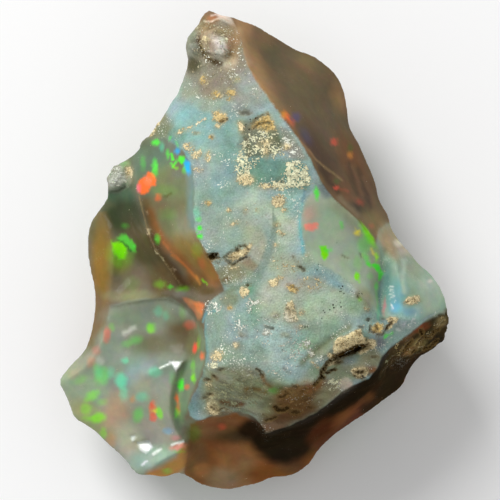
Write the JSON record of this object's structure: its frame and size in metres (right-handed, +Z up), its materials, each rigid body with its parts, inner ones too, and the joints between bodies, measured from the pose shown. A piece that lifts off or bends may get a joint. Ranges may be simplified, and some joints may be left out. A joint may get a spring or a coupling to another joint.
{
  "type": "rough precious opal",
  "caption": "Rough chunk of precious opal: satin blue-green front, glassy shell-shaped breaks, sandy tan crust and flashes of colour, lying on the flat break at its back.",
  "frame": {"origin": "centre of the stone's box, on the surface that it rests on", "axes": "+Y along the stone towards its pointed end, +Z up out of the resting face, +X to the right seen from above"},
  "size_m": [0.0292, 0.036, 0.0161],
  "materials": {
    "opal": "milky translucent precious opal: satin blue-green rind, glossy brown and grey-green breaks with small bright flashes of green, orange, red and blue, and patches of tan sandy crust"
  },
  "bodies": {
    "root": {"opal_stone": "opal"}
  },
  "joints": []
}
